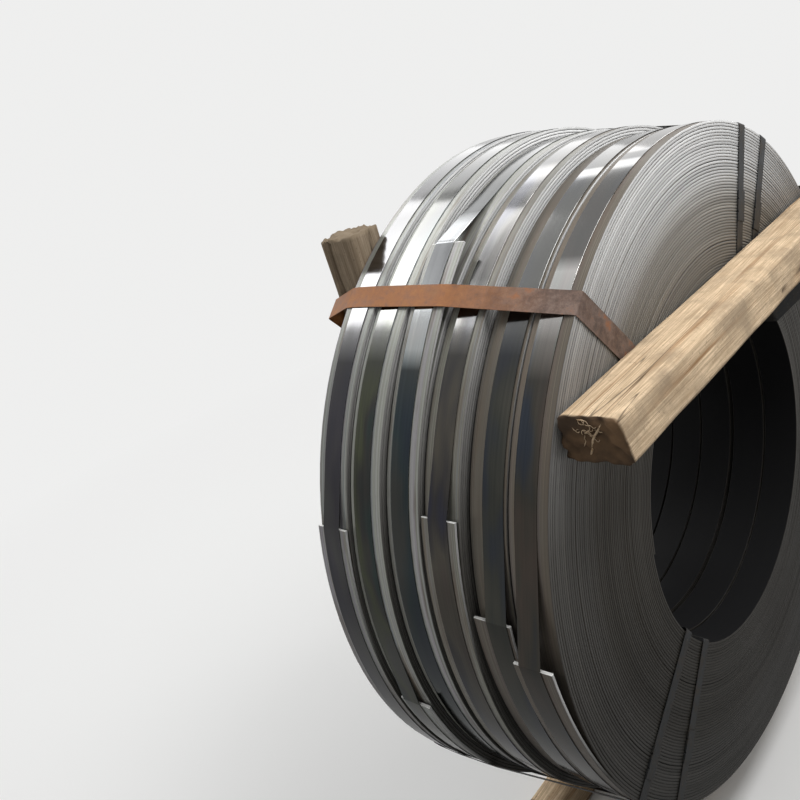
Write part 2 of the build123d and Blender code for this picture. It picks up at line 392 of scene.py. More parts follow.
@dataclass(frozen=True)
class WaxedSteel(Finish):
    """Dark waxed strapping, black with brown clouds and dull scuffs."""

    colour: Colour = (0.02, 0.021, 0.022)
    cloud: Colour = (0.07, 0.052, 0.034)
    scuff: Colour = (0.14, 0.13, 0.12)

    def shader(self, graph: Graph) -> bpy.types.Node:
        """Builds the dark strap's shader."""
        place = graph.place()
        clouds = graph.noise(place, 60.0, 4.0, 0.6)
        scuffs = graph.noise(place, 240.0, 3.0, 0.7)
        clouded = graph.mix(graph.remap(clouds, 0.45, 0.7, 0.0, 0.4), self.colour, self.cloud)
        worn = graph.mix(graph.remap(scuffs, 0.64, 0.76, 0.0, 0.5), clouded, self.scuff)
        roughness = graph.remap(clouds, 0.3, 0.7, 0.32, 0.5)
        return graph.surface(worn, 0.0, roughness, graph.bump(clouds, 0.15, MM), 0.12)


@dataclass(frozen=True)
class RustySteel(Finish):
    """Strapping under an even orange rust, which turns brown and blotchy towards the right end."""

    rust: Stops = (
        (0.28, (0.1, 0.042, 0.018)), (0.4, (0.19, 0.074, 0.024)), (0.52, (0.25, 0.098, 0.029)),
        (0.62, (0.275, 0.12, 0.041)), (0.76, (0.31, 0.17, 0.09)))
    blotches: Stops = (
        (0.36, (0.05, 0.033, 0.027)), (0.48, (0.1, 0.066, 0.052)), (0.56, (0.135, 0.098, 0.082)),
        (0.68, (0.22, 0.09, 0.04)))
    grain_light: Colour = (1.35, 1.3, 1.25)

    def shader(self, graph: Graph) -> bpy.types.Node:
        """Builds the rust's shader."""
        place = graph.place()
        broad = graph.noise(place, 11.0, 3.0, 0.6)
        blooms = graph.noise(place, 75.0, 6.0, 0.72)
        grains = graph.noise(place, 700.0, 4.0, 0.7)
        rightward = graph.remap(graph.parts(place)[0], -0.03, 0.13, -0.15, 0.95)
        worn = graph.remap(graph.plus(graph.remap(broad, 0.5, 0.66, 0.0, 0.6), rightward), 0.0, 1.0)
        blotchy = graph.ramp(graph.noise(place, 48.0, 5.0, 0.7), self.blotches)
        brown = graph.mix(worn, graph.ramp(blooms, self.rust), blotchy)
        colour = graph.toned(graph.remap(grains, 0.35, 0.7), brown, self.grain_light)
        relief = graph.plus(graph.times(blooms, 0.6), graph.times(grains, 0.4))
        roughness = graph.remap(blooms, 0.3, 0.7, 0.5, 0.75)
        return graph.surface(colour, 0.15, roughness, graph.bump(relief, 0.5, 0.6 * MM))


@dataclass(frozen=True)
class SealSteel(Finish):
    """Crimped seals: bright steel, scraped by the crimping tool, with dull clouds."""

    colour: Colour = (0.3, 0.3, 0.29)
    cloud: Colour = (0.16, 0.15, 0.145)
    scrape_scales: Point = (900.0, 120.0, 120.0)

    def shader(self, graph: Graph) -> bpy.types.Node:
        """Builds the seal's shader."""
        place = graph.place()
        clouds = graph.noise(place, 90.0, 3.0, 0.6)
        scrapes = graph.noise(graph.scaled(place, self.scrape_scales), 1.0, 3.0, 0.6)
        colour = graph.mix(graph.remap(clouds, 0.5, 0.72, 0.0, 0.8), self.colour, self.cloud)
        roughness = graph.remap(scrapes, 0.3, 0.7, 0.22, 0.45)
        return graph.surface(colour, 0.9, roughness, graph.bump(scrapes, 0.2, 0.4 * MM))


class Grain(Enum):
    """Axis that a timber's grain runs along, with the factors that stretch a pattern along it."""

    ALONG_Y = (1.0, 0.025, 1.0)
    ALONG_Z = (1.0, 1.0, 0.025)


@dataclass(frozen=True)
class RoughTimber(Finish):
    """Rough-sawn softwood with fine fibres, soft bands, stains, thin long cracks, darker ends and painted
    shade in its hollows.
    """

    grain: Grain = Grain.ALONG_Y
    pale: Colour = (0.68, 0.525, 0.36)
    brown: Colour = (0.34, 0.2, 0.1)
    stain: Colour = (0.3, 0.225, 0.15)
    end: Colour = (0.05, 0.032, 0.02)
    dark: Colour = (0.04, 0.026, 0.016)
    fibre_shade: Colour = (0.66, 0.61, 0.54)
    fibre_light: Colour = (1.25, 1.25, 1.22)
    shift: float = 0.0

    def shader(self, graph: Graph) -> bpy.types.Node:
        """Builds the timber's shader."""
        moved = graph.moved(graph.place(), (self.shift,) * 3)
        along = graph.scaled(moved, self.grain.value)
        fibres = graph.noise(along, 520.0, 5.0, 0.7)
        bands = graph.noise(along, 75.0, 3.0, 0.55)
        blotches = graph.noise(moved, 14.0, 5.0, 0.62)
        specks = graph.noise(moved, 260.0, 3.0, 0.6)
        body = graph.ramp(bands, ((0.3, self.brown), (0.46, self.pale), (0.72, self.pale)))
        shaded = graph.toned(graph.remap(fibres, 0.62, 0.36), body, self.fibre_shade)
        fibrous = graph.toned(graph.remap(fibres, 0.5, 0.68), shaded, self.fibre_light)
        stained = graph.mix(graph.remap(blotches, 0.47, 0.68, 0.0, 0.72), fibrous, self.stain)
        specked = graph.mix(graph.remap(specks, 0.62, 0.72, 0.0, 0.35), stained, self.dark)
        cracks = graph.math("ABSOLUTE", graph.math("SUBTRACT", graph.noise(along, 26.0), 0.42))
        cracked = graph.mix(graph.remap(cracks, 0.0, 0.0035, 0.8, 0.0), specked, self.dark)
        end = graph.mix(graph.remap(blotches, 0.4, 0.75, 0.0, 0.5), self.end, self.brown)
        torn = graph.mix(graph.attribute("end"), cracked, end)
        # Painted shade: cracks, the groove and the pits of the torn ends darken with their depth.
        colour = graph.mix(graph.attribute("hollow"), torn, self.dark)
        relief = graph.plus(graph.times(fibres, 0.7), graph.times(bands, 0.5))
        return graph.surface(colour, 0.0, 0.85, graph.bump(relief, 0.6, 1.4 * MM), 0.2)


@dataclass(frozen=True)
class PaleFloor(Finish):
    """Plain pale floor, which passes into the plain backdrop away from the pack."""

    colour: Colour = (0.93, 0.93, 0.922)
    bounced: Colour = (0.55, 0.55, 0.545)
    far: Colour = (0.86, 0.86, 0.855)
    fade_start: float = 0.9
    fade_end: float = 3.0

    def shader(self, graph: Graph) -> bpy.types.Node:
        """Builds the floor's shader."""
        camera_ray = graph.node("ShaderNodeLightPath").outputs["Is Camera Ray"]
        seen = graph.mix(camera_ray, self.bounced, self.colour)
        near = graph.node("ShaderNodeBsdfDiffuse", {"Color": seen})
        away = graph.node("ShaderNodeEmission", {"Color": (*self.far, 1.0)})
        faded = graph.remap(graph.length(graph.place()), self.fade_start, self.fade_end)
        return graph.node("ShaderNodeMixShader", {
            0: graph.times(faded, seen_ray(graph)), 1: near.outputs[0], 2: away.outputs[0]})


def seen_ray(graph: Graph) -> Socket:
    """1 for the rays that show the backdrop: those of the camera, of glossy reflections and through glass."""
    path = graph.node("ShaderNodeLightPath").outputs
    return graph.math("MAXIMUM", path["Is Camera Ray"],
                      graph.math("MAXIMUM", path["Is Glossy Ray"], path["Is Transmission Ray"]))


def add_object(name: str, data: bpy.types.ID) -> bpy.types.Object:
    """Adds an object with its data to the scene."""
    made = bpy.data.objects.new(name, data)
    bpy.context.scene.collection.objects.link(made)
    return made


# Bands of steel swept along a path

@dataclass
class BandTree:
    """Geometry Nodes tree that sweeps a flat steel band along a flat path and lays it in place."""

    name: str = "Steel Band"
    inputs: dict[str, str] = field(default_factory=dict)
    slow_seed: float = 7.3
    lift_seed: float = 3.1
    seed_step: float = 17.0
    wander_gain: float = 3.0
    sharp_angle: float = math.radians(25)

    def tree(self) -> bpy.types.GeometryNodeTree:
        """Builds the tree, once.

        Returns:
            The tree, with the identifiers of its inputs kept by name.
        """
        if self.name in bpy.data.node_groups:
            return bpy.data.node_groups[self.name]
        tree = bpy.data.node_groups.new(self.name, "GeometryNodeTree")
        tree.interface.new_socket("Geometry", in_out="INPUT", socket_type="NodeSocketGeometry")
        for name, kind in (("Band Width", "Float"), ("Band Thickness", "Float"), ("Corner Radius", "Float"),
                           ("Side Wander", "Float"), ("Side Wander Scale", "Float"), ("Slow Wander", "Float"),
                           ("Slow Wander Scale", "Float"), ("Lift Wander", "Float"), ("Seed", "Float"),
                           ("Turn", "Vector"), ("Place", "Vector"), ("Material", "Material")):
            made = tree.interface.new_socket(name, in_out="INPUT", socket_type=f"NodeSocket{kind}")
            self.inputs[name] = made.identifier
        tree.interface.new_socket("Geometry", in_out="OUTPUT", socket_type="NodeSocketGeometry")
        graph = Graph(tree)
        given = graph.node("NodeGroupInput").outputs
        curve = graph.node("GeometryNodeMeshToCurve", {0: given["Geometry"]})
        along = graph.node("GeometryNodeSplineParameter")
        total = graph.node("GeometryNodeSplineLength")
        travel = graph.math("SUBTRACT", total.outputs["Length"], along.outputs["Length"])
        named = self.marked(graph, curve.outputs[0], "travel", travel, "FLOAT")
        sideways = self.wander(graph, travel, given["Side Wander"], given["Side Wander Scale"], given["Seed"])
        slow = self.wander(graph, travel, given["Slow Wander"], given["Slow Wander Scale"],
                           graph.plus(given["Seed"], self.slow_seed))
        lift = self.wander(graph, travel, given["Lift Wander"], given["Side Wander Scale"],
                           graph.plus(given["Seed"], self.lift_seed))
        normal = graph.node("GeometryNodeInputNormal").outputs[0]
        raised = graph.node("ShaderNodeVectorMath", {0: normal, 3: lift}, operation="SCALE").outputs[0]
        aside = graph.point(z=graph.plus(sideways, slow))
        turned = graph.node("GeometryNodeSetCurveNormal", {0: named}, mode="Z_UP")
        wandered = graph.node("GeometryNodeSetPosition", {
            "Geometry": turned.outputs[0], "Offset": graph.moved(aside, raised)})
        section = graph.node("GeometryNodeCurvePrimitiveQuadrilateral", {
            "Width": given["Band Thickness"], "Height": given["Band Width"]})
        eased = graph.node("GeometryNodeFilletCurve", {
            "Curve": section.outputs[0], "Count": 1, "Radius": given["Corner Radius"]}, mode="POLY")
        through, across, _ = graph.parts(graph.node("GeometryNodeInputPosition").outputs[0])
        shares = graph.point(graph.math("DIVIDE", through, given["Band Thickness"]),
                             graph.math("DIVIDE", across, given["Band Width"]))
        marked = self.marked(graph, eased.outputs[0], "profile", shares, "FLOAT_VECTOR")
        swept = graph.node("GeometryNodeCurveToMesh", {
            "Curve": wandered.outputs[0], "Profile Curve": marked, "Fill Caps": True})
        angle = graph.node("GeometryNodeInputMeshEdgeAngle").outputs["Unsigned Angle"]
        sharp = graph.node("FunctionNodeCompare", {0: angle, 1: self.sharp_angle}, operation="GREATER_THAN")
        smooth = graph.node("GeometryNodeSetShadeSmooth", {
            0: swept.outputs[0], "Selection": sharp.outputs[0], "Shade Smooth": False}, domain="EDGE")
        laid = graph.node("GeometryNodeTransform", {
            "Geometry": smooth.outputs[0], "Translation": given["Place"], "Rotation": given["Turn"]})
        real = graph.node("GeometryNodeRealizeInstances", {0: laid.outputs[0]})
        dressed = graph.node("GeometryNodeSetMaterial", {0: real.outputs[0], "Material": given["Material"]})
        graph.node("NodeGroupOutput", {0: dressed.outputs[0]})
        return tree

    @staticmethod
    def marked(graph: Graph, geometry: Socket, name: str, value: Socket, kind: str) -> Socket:
        """Geometry with an attribute stored at its points."""
        inputs = {"Geometry": geometry, "Name": name, "Value": value}
        stored = graph.node("GeometryNodeStoreNamedAttribute", inputs, data_type=kind, domain="POINT")
        return stored.outputs[0]

    def wander(self, graph: Graph, travel: Socket, size: Socket, scale: Socket, seed: Socket) -> Socket:
        """Smooth random offset along the band, up to a size, with its changes to a metre."""
        place = graph.plus(graph.times(travel, scale), graph.times(seed, self.seed_step))
        noise = graph.line_noise(place, 1.0)
        centred = graph.times(graph.math("SUBTRACT", noise, 0.5), self.wander_gain)
        return graph.times(graph.math("MAXIMUM", graph.math("MINIMUM", centred, 1.0), -1.0), size)


BANDS = BandTree()


@dataclass
class Band:
    """A steel band swept along a flat path by the band tree."""

    width: float
    thickness: float
    corner: float
    side_wander: float = 0.0
    side_wander_scale: float = 1.0
    slow_wander: float = 0.0
    slow_wander_scale: float = 0.1
    lift_wander: float = 0.0
    seed: float = 0.0

    def sweep(self, name: str, path: np.ndarray, closed: bool, axes: Matrix,
              finish: Finish) -> bpy.types.Object:
        """Sweeps the band.

        Args:
            name: Name of the new object.
            path: Points of the path, two numbers each.
            closed: Whether the path is a loop.
            axes: Directions of the path's plane, with the place of its origin.
            finish: Finish of the band.

        Returns:
            The band as a plain mesh object at the origin.
        """
        tree = BANDS.tree()
        mesh = bpy.data.meshes.new(f"{name}_path")
        edges = [(k, k + 1) for k in range(len(path) - 1)] + ([(len(path) - 1, 0)] if closed else [])
        mesh.from_pydata([(float(a), float(b), 0.0) for a, b in path], edges, [])
        guide = add_object(f"{name}_guide", mesh)
        modifier = guide.modifiers.new("Band", "NODES")
        modifier.node_group = tree
        values = {
            "Band Width": self.width, "Band Thickness": self.thickness, "Corner Radius": self.corner,
            "Side Wander": self.side_wander, "Side Wander Scale": self.side_wander_scale,
            "Slow Wander": self.slow_wander, "Slow Wander Scale": self.slow_wander_scale,
            "Lift Wander": self.lift_wander, "Seed": self.seed, "Turn": axes.to_euler(),
            "Place": axes.to_translation(), "Material": finish.material(),
        }
        for key, value in values.items():
            modifier[BANDS.inputs[key]] = value
        return plain_piece(name, guide)


def plain_piece(name: str, guide: bpy.types.Object) -> bpy.types.Object:
    """Turns a guide with a Geometry Nodes modifier into a plain mesh object at the origin."""
    bpy.context.view_layer.update()
    graph = bpy.context.evaluated_depsgraph_get()
    mesh = bpy.data.meshes.new_from_object(guide.evaluated_get(graph), preserve_all_data_layers=True,
                                           depsgraph=graph)
    mesh.name = name
    bpy.data.objects.remove(guide)
    piece = add_object(name, mesh)
    if signed_volume(mesh) < 0:
        mesh.flip_normals()
    return piece


def signed_volume(mesh: bpy.types.Mesh) -> float:
    """Volume inside a closed mesh, negative where its faces point inwards."""
    mesh.calc_loop_triangles()
    corners = np.empty(len(mesh.vertices) * 3)
    mesh.vertices.foreach_get("co", corners)
    corners = corners.reshape(-1, 3)
    triangles = np.empty(len(mesh.loop_triangles) * 3, dtype=np.int32)
    mesh.loop_triangles.foreach_get("vertices", triangles)
    a, b, c = (corners[triangles.reshape(-1, 3)[:, k]] for k in range(3))
    return float(np.einsum("ij,ij->i", a, np.cross(b, c)).sum() / 6)


def settle(piece: bpy.types.Object, slot: str, *nodes: str) -> None:
    """Gives a piece its body, hides the CAD nodes that it stands for, and reports it."""
    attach(piece, BODY)
    if nodes:
        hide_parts(*nodes)
    log.info("%s: %d faces, for %s", piece.name, len(piece.data.polygons), ", ".join(nodes) or "nothing")


# The coils

STRIP_THICKNESS = 4.0 * MM
STRIP_WIDTH = 52.0 * MM
BORE_RADIUS = 254.0 * MM
PACK_LENGTH = 325.5 * MM
SEAT_GAP = 0.3 * MM
STRAP_THICKNESS = 0.77 * MM
STRAP_PLAY = 0.2 * MM
STRAP_CORNER = 0.2 * MM
STRIP_CORNER = 0.45 * MM
BOX_MARGIN = 0.01 * MM
COIL_GAPS = (2.0 * MM, 2.5 * MM, 2.5 * MM, 5.0 * MM, 1.5 * MM)


def polar(radius: np.ndarray | float, angle: np.ndarray | float) -> np.ndarray:
    """Points at radii and angles in degrees, in a section across the axis."""
    turn = np.radians(angle)
    return np.stack([radius * np.cos(turn), radius * np.sin(turn)], axis=-1)


def unit(vector: np.ndarray) -> np.ndarray:
    """A flat vector at length 1."""
    return vector / np.hypot(*vector)


def section_axes(x: float) -> Matrix:
    """Axes of a section across the bore at a place along it: forwards, upwards and to the left."""
    return Matrix(((0, 0, -1, x), (-1, 0, 0, 0), (0, 1, 0, 0), (0, 0, 0, 1)))


@dataclass
class Coil:
    """One slit coil: its wound strip and its own strap."""

    number: int
    turns: int
    tip: float
    span: float
    standoff: float
    strap_shift: float
    strip_finish: StripSteel
    strap_finish: StrapSteel
    loose: tuple[int, ...] = ()
    strip_thickness: float = 3.82 * MM
    strip_width: float = 50.9 * MM
    strap_width: float = 29.0 * MM
    half_turn_steps: int = 62
    bend_steps: int = 14
    over_steps: int = 90
    under_steps: int = 80
    sprung_steps: int = 18
    run_steps: int = 24
    seam_step: int = 60
    slack_seed: int = 300
    gap_shape: float = 1.6
    loose_gap: float = 0.9 * MM

    @property
    def centre(self) -> float:
        """X of the coil's middle."""
        return -PACK_LENGTH / 2 + (self.number - 0.5) * STRIP_WIDTH + sum(COIL_GAPS[:self.number - 1])

    @property
    def radius(self) -> float:
        """Outer radius at the tip's foot."""
        return BORE_RADIUS + self.turns * STRIP_THICKNESS

    @property
    def last_radius(self) -> float:
        """Radius of the lower half of the last turn."""
        return self.radius - STRIP_THICKNESS / 2

    @property
    def arc_centre(self) -> np.ndarray:
        """Centre of the lower half turns."""
        return polar(STRIP_THICKNESS / 2, self.tip)

    def sprung_bend(self) -> tuple[float, float, np.ndarray]:
        """Radius, arc in degrees and centre of the sprung end's bend."""
        length = self.last_radius * math.radians(self.span)
        bend = 1 / (1 / self.last_radius - 2 * self.standoff / length**2)
        root = self.tip - self.span
        foot = self.arc_centre + polar(self.last_radius, root)
        return bend, math.degrees(length / bend), foot - polar(bend, root)

    def slack(self) -> np.ndarray:
        """How far each turn, from the outermost inwards, stands outside its even place."""
        rng = np.random.default_rng(self.slack_seed + self.number)
        gaps = rng.gamma(self.gap_shape, 1.0, self.turns)
        gaps *= self.turns * (STRIP_THICKNESS - self.strip_thickness) / gaps.sum()
        for loose in self.loose:
            gaps[self.turns - loose] += self.loose_gap
        even = gaps.mean()
        return np.concatenate([[0.0], np.cumsum(even - gaps)])

    def strip_path(self) -> np.ndarray:
        """Middle line of the strip, from its inner end to its sprung tip.

        Returns:
            Points in the section across the axis.
        """
        slack = self.slack()
        half = np.linspace(0.0, 180.0, self.half_turn_steps + 1)[:-1]
        inset = self.strip_thickness / 2
        numbers = np.arange(len(slack))
        points = []
        for turn in range(self.turns - 2, -1, -1):
            lean = np.interp(turn + 1 - half / 360, numbers, slack)
            over = self.radius - (turn + 1) * STRIP_THICKNESS - inset + lean
            points.append(polar(over, self.tip + half))
            last = half[half <= 180.0 - self.span] if turn == 0 else half
            lean = np.interp(turn + 0.5 - last / 360, numbers, slack)
            under = self.last_radius - turn * STRIP_THICKNESS - inset + lean * (turn > 0)
            points.append(self.arc_centre + polar(under, self.tip + 180 + last))
        bend, arc, centre = self.sprung_bend()
        sprung = self.tip - self.span + np.linspace(0, arc, self.bend_steps)
        points.append(centre + polar(bend - inset, sprung))
        return np.concatenate(points)

    def strap_path(self) -> np.ndarray:
        """Middle line of the coil's own strap, pulled straight from the sprung tip to the coil above.

        Returns:
            Points of a closed loop in the section across the axis.
        """
        bend, arc, centre = self.sprung_bend()
        corner = centre + polar(bend, self.tip - self.span + arc)
        over_radius = self.radius - STRIP_THICKNESS
        reach = float(np.hypot(*corner))
        landing = math.degrees(math.atan2(corner[1], corner[0]) + math.acos(over_radius / reach))
        lift = SEAT_GAP + STRAP_THICKNESS / 2
        root = self.tip - self.span
        over = polar(over_radius + lift, np.linspace(landing, self.tip + 180, self.over_steps))
        under = self.arc_centre + polar(self.last_radius + lift,
                                        np.linspace(self.tip + 180, root + 360, self.under_steps))
        sprung = centre + polar(bend + lift, np.linspace(root, root + arc, self.sprung_steps))
        away = over[0] - sprung[-1]
        leave = corner + unit(np.array([away[1], -away[0]])) * lift
        run = leave + np.linspace(0.0, 1.0, self.run_steps)[1:-1, None] * (over[0] - leave)
        knee = corner + unit((sprung[-1] + leave) / 2 - corner) * lift
        loop = np.concatenate([over, under[1:], sprung[1:], [knee], [leave], run])
        return np.roll(loop, -self.seam_step, axis=0)

    def build(self) -> None:
        """Builds the strip and the strap in place of their CAD nodes."""
        seed = float(self.number)
        band = Band(self.strip_width, self.strip_thickness, STRIP_CORNER, side_wander=0.28 * MM,
                    side_wander_scale=0.9, slow_wander=0.25 * MM, slow_wander_scale=0.07, seed=seed)
        piece = band.sweep(f"coil_{self.number}_strip", self.strip_path(), False, section_axes(self.centre),
                           self.strip_finish)
        settle(piece, "strip_steel", f"coil_{self.number}")
        strap = Band(self.strap_width - STRAP_PLAY, STRAP_THICKNESS, STRAP_CORNER, side_wander=0.1 * MM,
                     side_wander_scale=2.0, seed=seed)
        piece = strap.sweep(f"coil_{self.number}_strap", self.strap_path(), True,
                            section_axes(self.centre + self.strap_shift), self.strap_finish)
        settle(piece, "strap_steel", f"coil_strap_{self.number}")


# The bundle straps

@dataclass
class BundleStrap:
    """A strap through the bore and round the pack, laid over the line of its CAD node."""

    node: str
    angle: float
    width: float
    slot: str
    finish: Finish
    corner_radius: float = 3.0 * MM
    shortest_side: float = 0.5 * MM
    longest_step: float = 20.0 * MM
    fold_steps: int = 5

    def axes(self) -> Matrix:
        """Axes of the strap's plane: along the bore, outwards and across."""
        turn = math.radians(self.angle)
        c, s = math.cos(turn), math.sin(turn)
        return Matrix(((1, 0, 0, 0), (0, -c, -s, 0), (0, s, -c, 0), (0, 0, 0, 1)))

    def outline(self) -> np.ndarray:
        """Outer outline of the CAD strap in its own plane.

        Returns:
            Corners of the convex outline, anticlockwise.
        """
        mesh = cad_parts[self.node].data
        corners = np.array([vertex.co for vertex in mesh.vertices])
        turn = math.radians(self.angle)
        radial = -corners[:, 1] * math.cos(turn) + corners[:, 2] * math.sin(turn)
        points = sorted(set(map(tuple, np.round(np.column_stack([corners[:, 0], radial]), 6))))
        sides = []
        for run in (points, points[::-1]):
            hull: list[tuple[float, float]] = []
            for point in run:
                while len(hull) > 1 and self.turn_of(hull[-2], hull[-1], point) <= 1e-9:
                    hull.pop()
                hull.append(point)
            sides.append(hull[:-1])
        return np.array(sides[0] + sides[1])

    @staticmethod
    def turn_of(a: tuple[float, float], b: tuple[float, float], c: tuple[float, float]) -> float:
        """Which way three points turn, positive to the left."""
        return (b[0] - a[0]) * (c[1] - a[1]) - (b[1] - a[1]) * (c[0] - a[0])

    def path(self) -> np.ndarray:
        """Middle line of the strap, with its folds eased.

        Returns:
            Points of a closed loop in the strap's plane.
        """
        hull = self.outline()
        steps = np.roll(hull, -1, axis=0) - hull
        hull = hull[np.hypot(steps[:, 0], steps[:, 1]) > self.shortest_side]
        count = len(hull)
        inset = []
        for k in range(count):
            before, here, after = hull[k - 1], hull[k], hull[(k + 1) % count]
            first, second = unit(here - before), unit(after - here)
            inward = np.array([-first[1], first[0]]) + np.array([-second[1], second[0]])
            inset.append(here + inward / (1 + first @ second) * (STRAP_THICKNESS / 2 + BOX_MARGIN))
        inset = np.array(inset)
        points = []
        for k in range(count):
            before, here, after = inset[k - 1], inset[k], inset[(k + 1) % count]
            back, on = np.hypot(*(before - here)), np.hypot(*(after - here))
            ease = min(self.corner_radius, back / 3, on / 3)
            start = here + (before - here) / back * ease
            end = here + (after - here) / on * ease
            for share in np.linspace(0, 1, self.fold_steps):
                points.append(start * (1 - share)**2 + here * 2 * share * (1 - share) + end * share**2)
            gap = after + (here - after) / on * min(self.corner_radius, on / 3) - end
            pieces = int(np.hypot(*gap) / self.longest_step)
            points.extend(end + gap * share for share in np.linspace(0, 1, pieces + 1)[1:-1])
        return np.array(points)

    def build(self) -> None:
        """Builds the strap in place of its CAD node."""
        band = Band(self.width - STRAP_PLAY, STRAP_THICKNESS, STRAP_CORNER, side_wander=0.4 * MM,
                    side_wander_scale=3.0, seed=self.angle)
        piece = band.sweep(f"{self.node}_band", self.path(), True, self.axes(), self.finish)
        settle(piece, self.slot, self.node)


# The timbers

PHASE_RANGE = 6.28
NORMAL_Y = np.array([0.0, 1.0, 0.0])


@dataclass
class Timber:
    """A rough-sawn timber with cracks, a worn skin and torn ends, inside its CAD node's box."""

    node: str
    axis: int
    finish: RoughTimber
    seed: int
    cell: float = 3.6 * MM
    skin: float = 1.6 * MM
    tear: float = 5.0 * MM
    slant: float = 0.0
    waves: int = 26
    cracks: int = 5
    crack_depth: float = 2.5 * MM
    groove: float | None = None
    groove_depth: float = 9.0 * MM
    groove_reach: float = 0.13
    corner_wear: float = 3.2 * MM
    bumps: int = 30
    fibres: int = 0
    fibre_steps: int = 14
    fibre_radius: float = 0.42 * MM
    fibre_root: float = 7.0 * MM
    splinter_radius: float = 1.3 * MM

    def build(self) -> None:
        """Builds the timber in place of its CAD node."""
        low, high = (np.array(corner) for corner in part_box(self.node))
        rng = np.random.default_rng(self.seed)
        vertices, faces = self.skin_mesh(low, high)
        vertices, hollow, end = self.weathered(vertices, low, high, rng)
        for path, radius in self.loose_fibres(low, high, rng):
            points, sides = self.thread(path, radius, len(vertices))
            vertices, faces = np.concatenate([vertices, points]), faces + sides
            hollow, end = (np.concatenate([values, np.zeros(len(points))]) for values in (hollow, end))
        mesh = bpy.data.meshes.new(f"{self.node}_timber")
        mesh.from_pydata(vertices.tolist(), [], faces)
        for name, values in (("hollow", hollow), ("end", end)):
            mesh.attributes.new(name, "FLOAT", "POINT").data.foreach_set("value", values)
        mesh.materials.append(self.finish.material())
        mesh.shade_smooth()
        settle(add_object(f"{self.node}_timber", mesh), "timber", self.node)

    def loose_fibres(self, low: np.ndarray, high: np.ndarray,
                     rng: np.random.Generator) -> list[tuple[np.ndarray, float]]:
        """Pale fibres and a splinter that hang in the torn front end of a timber along Y.

        Args:
            low: Lowest corner of the box.
            high: Highest corner of the box.
            rng: Source of the random pattern.

        Returns:
            The path and the radius of each.
        """
        if not self.fibres:
            return []
        size = high - low
        made = []
        for _ in range(self.fibres):
            heading = rng.uniform(0, 2 * math.pi) + np.cumsum(rng.uniform(-0.75, 0.75, self.fibre_steps))
            steps = np.stack([np.cos(heading), 0 * heading, np.sin(heading)], axis=-1)
            steps *= rng.uniform(0.7, 1.3) * MM
            start = low + size * np.array([rng.uniform(0.3, 0.52), 0, rng.uniform(0.62, 0.86)])
            start[1] = low[1] + rng.uniform(0.7, 2.2) * MM
            path = start + np.cumsum(steps, axis=0)
            path[:, 2] = np.minimum(path[:, 2], high[2] - 4 * MM)
            path[0, 1] += self.fibre_root
            made.append((path, self.fibre_radius))
        foot, head = (low + size * np.array([across, 0, up]) for across, up in ((0.34, 0.08), (0.62, 0.92)))
        shares = np.linspace(0, 1, 9)[:, None]
        splinter = foot * (1 - shares) + head * shares + np.array([1.5, 0, 0]) * MM * np.sin(shares * 9)
        splinter[:, 1] = low[1] + 2.4 * MM
        splinter[[0, -1], 1] += 6 * MM
        return [*made, (splinter, self.splinter_radius)]

    @staticmethod
    def thread(path: np.ndarray, radius: float, first: int) -> tuple[np.ndarray, list[tuple[int, ...]]]:
        """Closed four-sided thread along a path in the plane of X and Z.

        Args:
            path: Points of the path.
            radius: Half of its thickness.
            first: Number of its first point in the mesh.

        Returns:
            Its points and faces.
        """
        ahead = np.gradient(path, axis=0)
        ahead /= np.linalg.norm(ahead, axis=1)[:, None]
        aside = np.cross(ahead, NORMAL_Y)
        from_end = np.minimum(np.arange(len(path)), np.arange(len(path))[::-1])
        shape = np.minimum(from_end / 2 + 0.3, 1.0)[:, None] * radius
        rings = np.stack([path + side * shape for side in (aside, NORMAL_Y, -aside, -NORMAL_Y)], axis=1)
        faces = [tuple(first + k for k in range(4)), tuple(first + 4 * len(path) - 1 - k for k in range(4))]
        for ring in range(len(path) - 1):
            for k in range(4):
                a, b = first + 4 * ring + k, first + 4 * ring + (k + 1) % 4
                faces.append((a, a + 4, b + 4, b))
        return rings.reshape(-1, 3), faces

    def skin_mesh(self, low: np.ndarray, high: np.ndarray) -> tuple[np.ndarray, list[tuple[int, ...]]]:
        """Closed grid over the six sides of a box.

        Args:
            low: Lowest corner.
            high: Highest corner.

        Returns:
            The grid's points and faces.
        """
        size = high - low
        cells = [self.cell * (2.0 if k == self.axis else 1.0) for k in range(3)]
        counts = [max(4, int(round(size[k] / cells[k]))) for k in range(3)]
        places: dict[tuple[int, int, int], int] = {}
        points: list[tuple[int, int, int]] = []

        def point(cell: tuple[int, int, int]) -> int:
            """Number of a grid point."""
            if cell not in places:
                places[cell] = len(points)
                points.append(cell)
            return places[cell]

        faces = []
        for axis in range(3):
            first, second = (axis + 1) % 3, (axis + 2) % 3
            for side in (0, counts[axis]):
                for a in range(counts[first]):
                    for b in range(counts[second]):
                        ring = []
                        for da, db in ((0, 0), (1, 0), (1, 1), (0, 1)):
                            cell = [0, 0, 0]
                            cell[axis], cell[first], cell[second] = side, a + da, b + db
                            ring.append(point(tuple(cell)))
                        faces.append(tuple(ring if side else ring[::-1]))
        return low + np.array(points) / np.array(counts) * size, faces

